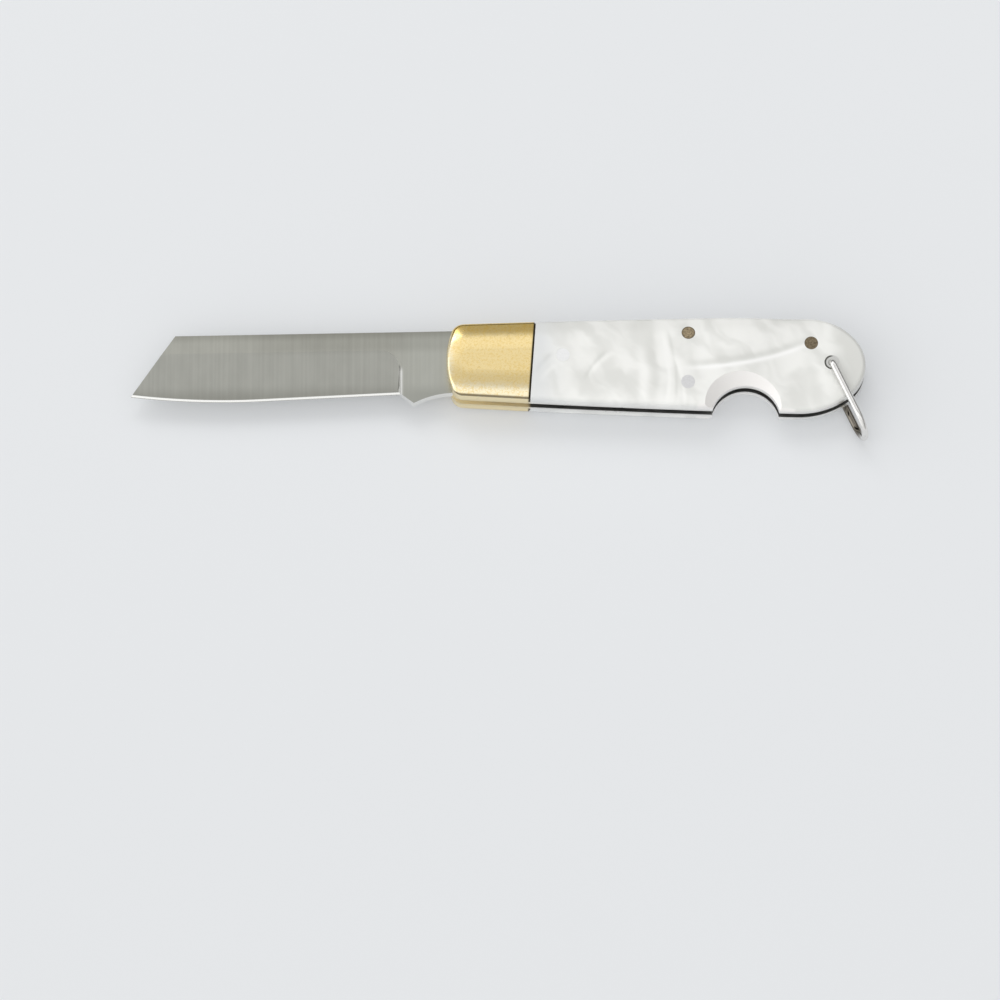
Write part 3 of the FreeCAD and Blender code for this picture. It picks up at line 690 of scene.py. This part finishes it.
# Painted shade on the lower leg
BROWN_HEIGHT = (2.0, 5.0)       # above the floor, where the brown of the lower leg fades out
TUBE_NOISE = (1.2, 3.0, 0.6)
TUBE_LEVELS = (0.85, 1.1)
TUBE_ROUGHNESS = 0.35
TUBE_RUB_ROUGHNESS = 0.1
TUBE_BUMP = (0.04, 0.00003)
GAP_RING = (1.25, 1.5)          # from the tube's middle, where the painted shade begins
GAP_SIDE = (-0.5, 0.4)          # towards the blade from the tube's middle, where the painted shade appears


def chrome_finish(bail):
    """Bright chrome with faint rubbing, and painted shade, tinted brownish, on the lower leg."""
    finish = Finish("bail_chrome", Metallic=1.0)
    up = finish.place.split()[2]
    rubbed = finish.place.noise(*CHROME_NOISE)
    base = rubbed.step(*CHROME_FADE).vary(bail.chrome, CHROME_LEVELS)
    # Painted shade, tinted brownish, on the lower leg
    base = up.fade(*BROWN_HEIGHT).mix(base, colour(bail.lower_leg_shade))
    finish.feed(Base_Color=base, Roughness=bail.roughness + rubbed.step(*CHROME_RUB) * CHROME_RUB_ROUGHNESS,
                Normal=rubbed.bump(*CHROME_BUMP))
    return finish


def tube_finish(bail):
    """Dull end of the bail's tube, with a dark crescent of painted shade round one side of it."""
    finish = Finish("tube_metal", Metallic=1.0)
    along, across = finish.place.split()[:2]
    rubbed = finish.place.noise(*TUBE_NOISE)
    middle = middle_of("bail_tube")
    # Painted shade: a dark crescent on the side towards the blade
    gap = distance_to(along, across, middle).step(*GAP_RING) * (middle.x - along).step(*GAP_SIDE)
    base = gap.mix(rubbed.vary(bail.tube, TUBE_LEVELS), colour(bail.gap))
    finish.feed(Base_Color=base, Roughness=TUBE_ROUGHNESS + rubbed * TUBE_RUB_ROUGHNESS,
                Normal=rubbed.bump(*TUBE_BUMP))
    return finish


# Operators for the pieces

class KNIFE_OT_blade(Operator):
    """Give the blade its ground and polished steel"""
    bl_idname = "knife.blade"
    bl_label = "Finish Blade"

    def execute(self, context):
        blade_finish(context.scene.knife_steel).put_on(["blade"])
        return {"FINISHED"}


class KNIFE_OT_liners(Operator):
    """Give the liners and the back spring their lined steel"""
    bl_idname = "knife.liners"
    bl_label = "Finish Liners and Spring"

    def execute(self, context):
        steel = context.scene.knife_steel
        brass = context.scene.knife_brass
        lined_steel_finish("liner_steel", steel.liner, brass.wall).put_on(both_sides("liner"))
        lined_steel_finish("spring_steel", steel.spring, steel.spring).put_on(["back_spring"])
        return {"FINISHED"}


class KNIFE_OT_bolsters(Operator):
    """Give the bolsters and the pins that are spun flush in them their polished brass"""
    bl_idname = "knife.bolsters"
    bl_label = "Finish Bolsters"

    def execute(self, context):
        names = both_sides("bolster", "upper_bolster_pin", "lower_bolster_pin") + ["pivot_pin"]
        brass_finish(context.scene.knife_brass).put_on(names)
        return {"FINISHED"}


class KNIFE_OT_scales(Operator):
    """Give the scales their pearly plastic"""
    bl_idname = "knife.scales"
    bl_label = "Finish Scales"

    def execute(self, context):
        pearl_finish(context.scene.knife_pearl).put_on(both_sides("scale"))
        return {"FINISHED"}


class KNIFE_OT_rivets(Operator):
    """Give the through rivets their dulled bronze"""
    bl_idname = "knife.rivets"
    bl_label = "Finish Rivets"

    def execute(self, context):
        rivets = ["spring_rivet", "butt_rivet"]
        bronze_finish(context.scene.knife_pins, rivets).put_on(rivets)
        return {"FINISHED"}


class KNIFE_OT_scale_pins(Operator):
    """Give the blind pins in the scales their pale metal"""
    bl_idname = "knife.scale_pins"
    bl_label = "Finish Scale Pins"

    def execute(self, context):
        pale_pin_finish(context.scene.knife_pins).put_on(both_sides("rear_scale_pin", "front_scale_pin"))
        return {"FINISHED"}


class KNIFE_OT_bail(Operator):
    """Give the bail its chrome and its tube a duller metal"""
    bl_idname = "knife.bail"
    bl_label = "Finish Bail"

    def execute(self, context):
        chrome_finish(context.scene.knife_bail).put_on(["bail"])
        tube_finish(context.scene.knife_bail).put_on(["bail_tube"])
        return {"FINISHED"}


# Studio

CAMERA_TILT = math.radians(18.0)
CAMERA_LENS = 200.0
CAMERA_SENSOR = 36.0
CAMERA_CLIP = 0.01
CAMERA_AIM = Vector((0.16, -29.61, 6.1)) * MM
FLOOR_HALF = 6.0
FLOOR_ROUGHNESS = 0.9
FLOOR_NOISE = (0.02, 2.0, 0.5)
FLOOR_LEVELS = (0.995, 1.005)
VEILED_RAYS = ("Is Camera Ray", "Is Glossy Ray", "Is Transmission Ray")
LIGHT_DISTANCE = 1.8
# Lamps: name, direction from the knife, length, width, radiance and whether reflections show it
LAMPS = (
    ("left_light", (-0.32, 0.66, 0.68), 0.55, 0.45, 2.3, True),
    ("back_light", (-0.1, 0.5, 0.86), 0.9, 0.6, 2.2, False),
)
# Angles from the back horizon over the knife to the front, between which the light changes, and how
SKY_CHANGES = (
    (23.0, 31.0, 0.40),
    (45.0, 55.0, 0.65),
    (64.0, 80.0, -0.38),
    (92.0, 101.0, 0.52),
    (116.0, 132.0, -0.30),
)
SKY_START = 0.18
SKY_LEFT = 0.28                 # how much brighter the left is, and darker the right
LEFT_PANEL = 0.45               # extra light from the far left
LEFT_FADE = (0.6, 0.9)          # how far to the left that light begins
RIGHT_SHADE = 0.45              # how much darker the far right is
RIGHT_FADE = (0.5, 0.85)        # how far to the right that shade begins


def soft_light(name, toward, length, width, radiance, in_reflections):
    """Wide soft light in a direction from the knife."""
    data = bpy.data.lights.new(name, "AREA")
    data.shape = "RECTANGLE"
    data.size = length
    data.size_y = width
    data.energy = radiance * math.pi * length * width
    lamp = bpy.data.objects.new(name, data)
    toward = Vector(toward).normalized()
    lamp.location = toward * LIGHT_DISTANCE
    lamp.rotation_mode = "QUATERNION"
    lamp.rotation_quaternion = toward.to_track_quat("Z", "Y")
    lamp.visible_camera = False
    lamp.visible_glossy = in_reflections
    bpy.context.scene.collection.objects.link(lamp)


def surroundings(studio):
    """Soft grey light in bands, bright behind and before the knife, dimmer between and on the right."""
    world = bpy.data.worlds.new("studio")
    world.use_nodes = True
    tree = world.node_tree
    right, back, up = Shade(tree).node("ShaderNodeTexCoord", {}, {}, "Generated").split()
    angle = up.math("ARCTAN2", up, back)
    level = SKY_START
    for low, high, change in SKY_CHANGES:
        level = level + angle.step(math.radians(low), math.radians(high)) * change
    left_panel = (right * -1.0).step(*LEFT_FADE) * LEFT_PANEL
    right_shade = 1.0 - right.step(*RIGHT_FADE) * RIGHT_SHADE
    level = (level * (1.0 - right * SKY_LEFT) * right_shade + left_panel) * studio.level
    background = tree.nodes["Background"]
    background.inputs["Color"].default_value = (1.0, 1.0, 1.0, 1.0)
    tree.links.new(level.socket, background.inputs["Strength"])
    bpy.context.scene.world = world


def floor_finish(studio):
    """Matt pale floor whose shadow is partly veiled by the backdrop's colour."""
    finish = Finish("floor", Roughness=FLOOR_ROUGHNESS, Specular_IOR_Level=0.0)
    grain = finish.place.noise(*FLOOR_NOISE)
    finish.feed(Base_Color=grain.vary(studio.floor, FLOOR_LEVELS))
    rays = [grain.node("ShaderNodeLightPath", {}, {}, ray) for ray in VEILED_RAYS]
    shown = rays[0].most(rays[1]).most(rays[2])
    backdrop = grain.node("ShaderNodeEmission", {}, {"Color": colour(studio.backdrop)})
    lit = Shade(finish.tree, finish.surface.outputs[0])
    seen = grain.node("ShaderNodeMixShader", {}, {0: shown * studio.veil, 1: lit, 2: backdrop})
    finish.tree.links.new(seen.socket, finish.tree.nodes["Material Output"].inputs["Surface"])
    return finish


def floor(studio):
    mesh = bpy.data.meshes.new("floor")
    half = FLOOR_HALF
    corners = [(-half, -half, 0.0), (half, -half, 0.0), (half, half, 0.0), (-half, half, 0.0)]
    mesh.from_pydata(corners, [], [(0, 1, 2, 3)])
    piece = bpy.data.objects.new("floor", mesh)
    bpy.context.scene.collection.objects.link(piece)
    mesh.materials.append(floor_finish(studio).material)


def camera(studio):
    data = bpy.data.cameras.new("camera")
    data.lens = CAMERA_LENS
    data.sensor_width = CAMERA_SENSOR
    data.clip_start = CAMERA_CLIP
    item = bpy.data.objects.new("camera", data)
    toward = Vector((0.0, -math.sin(CAMERA_TILT), math.cos(CAMERA_TILT)))
    item.location = CAMERA_AIM + toward * studio.distance
    item.rotation_euler = (CAMERA_TILT, 0.0, 0.0)
    bpy.context.scene.collection.objects.link(item)
    bpy.context.scene.camera = item


class KNIFE_OT_stage(Operator):
    """Set the knife on a pale floor under soft lights, with the camera above it"""
    bl_idname = "knife.stage"
    bl_label = "Set Stage"

    def execute(self, context):
        studio = context.scene.knife_studio
        floor(studio)
        surroundings(studio)
        for lamp in LAMPS:
            soft_light(*lamp)
        camera(studio)
        context.scene.view_settings.view_transform = "Standard"
        return {"FINISHED"}


# Panel and registration

OPERATORS = (
    KNIFE_OT_blade,
    KNIFE_OT_liners,
    KNIFE_OT_bolsters,
    KNIFE_OT_scales,
    KNIFE_OT_rivets,
    KNIFE_OT_scale_pins,
    KNIFE_OT_bail,
    KNIFE_OT_stage,
)


class KNIFE_PT_finishes(Panel):
    """Lists the knife's finishes and the stage"""
    bl_idname = "KNIFE_PT_finishes"
    bl_label = "Pocket Knife"
    bl_space_type = "VIEW_3D"
    bl_region_type = "UI"
    bl_category = "Knife"

    def draw(self, context):
        for name, group in GROUPS.items():
            box = self.layout.box()
            for field in group.__annotations__:
                box.prop(getattr(context.scene, name), field)
        for operator in OPERATORS:
            self.layout.operator(operator.bl_idname)


CLASSES = tuple(GROUPS.values()) + OPERATORS + (KNIFE_PT_finishes,)


def register():
    for item in CLASSES:
        bpy.utils.register_class(item)
    for name, group in GROUPS.items():
        setattr(bpy.types.Scene, name, PointerProperty(type=group))


def unregister():
    for name in GROUPS:
        delattr(bpy.types.Scene, name)
    for item in reversed(CLASSES):
        bpy.utils.unregister_class(item)


def main():
    register()
    bpy.ops.knife.blade()
    bpy.ops.knife.liners()
    bpy.ops.knife.bolsters()
    bpy.ops.knife.scales()
    bpy.ops.knife.rivets()
    bpy.ops.knife.scale_pins()
    bpy.ops.knife.bail()
    bpy.ops.knife.stage()


if __name__ == "__main__":
    main()
